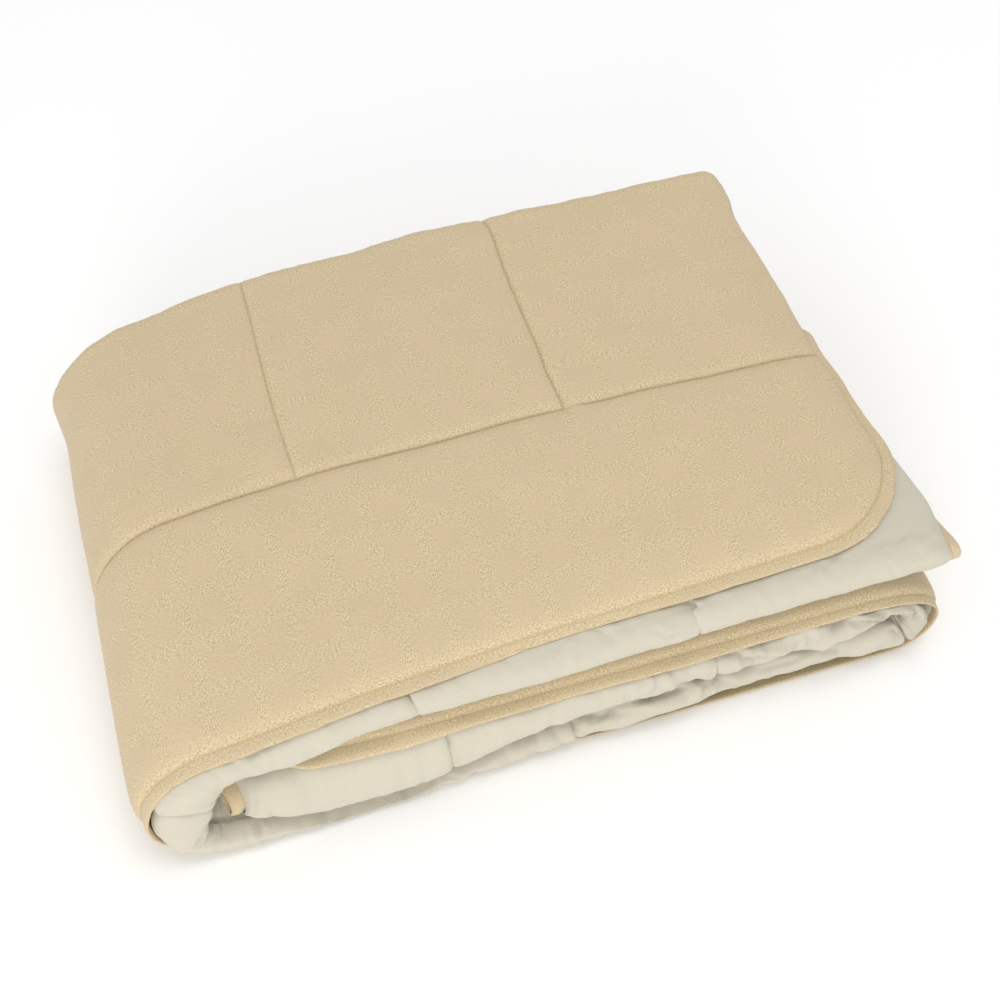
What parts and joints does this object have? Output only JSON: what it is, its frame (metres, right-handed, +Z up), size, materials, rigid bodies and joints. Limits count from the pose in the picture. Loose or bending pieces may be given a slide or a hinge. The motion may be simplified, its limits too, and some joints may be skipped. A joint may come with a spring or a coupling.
{
  "type": "folded quilt",
  "caption": "Box-quilted bed quilt with a tan crinkle-weave face and a cream back, folded in thirds and rolled in thirds.",
  "frame": {"origin": "middle of the bundle's footprint, on the surface it lies on", "axes": "+X along the long side of the folded bundle towards its loose end, +Y from the open front folds to the back turn, +Z up"},
  "size_m": [0.6464, 0.4714, 0.1415],
  "materials": {
    "face_cloth": "matte crinkle-weave cotton",
    "backing_cloth": "matte plain-weave cotton",
    "binding_cloth": "matte crinkle-weave cotton"
  },
  "bodies": {
    "root": {"quilt": "face_cloth", "binding": "binding_cloth"}
  },
  "joints": []
}
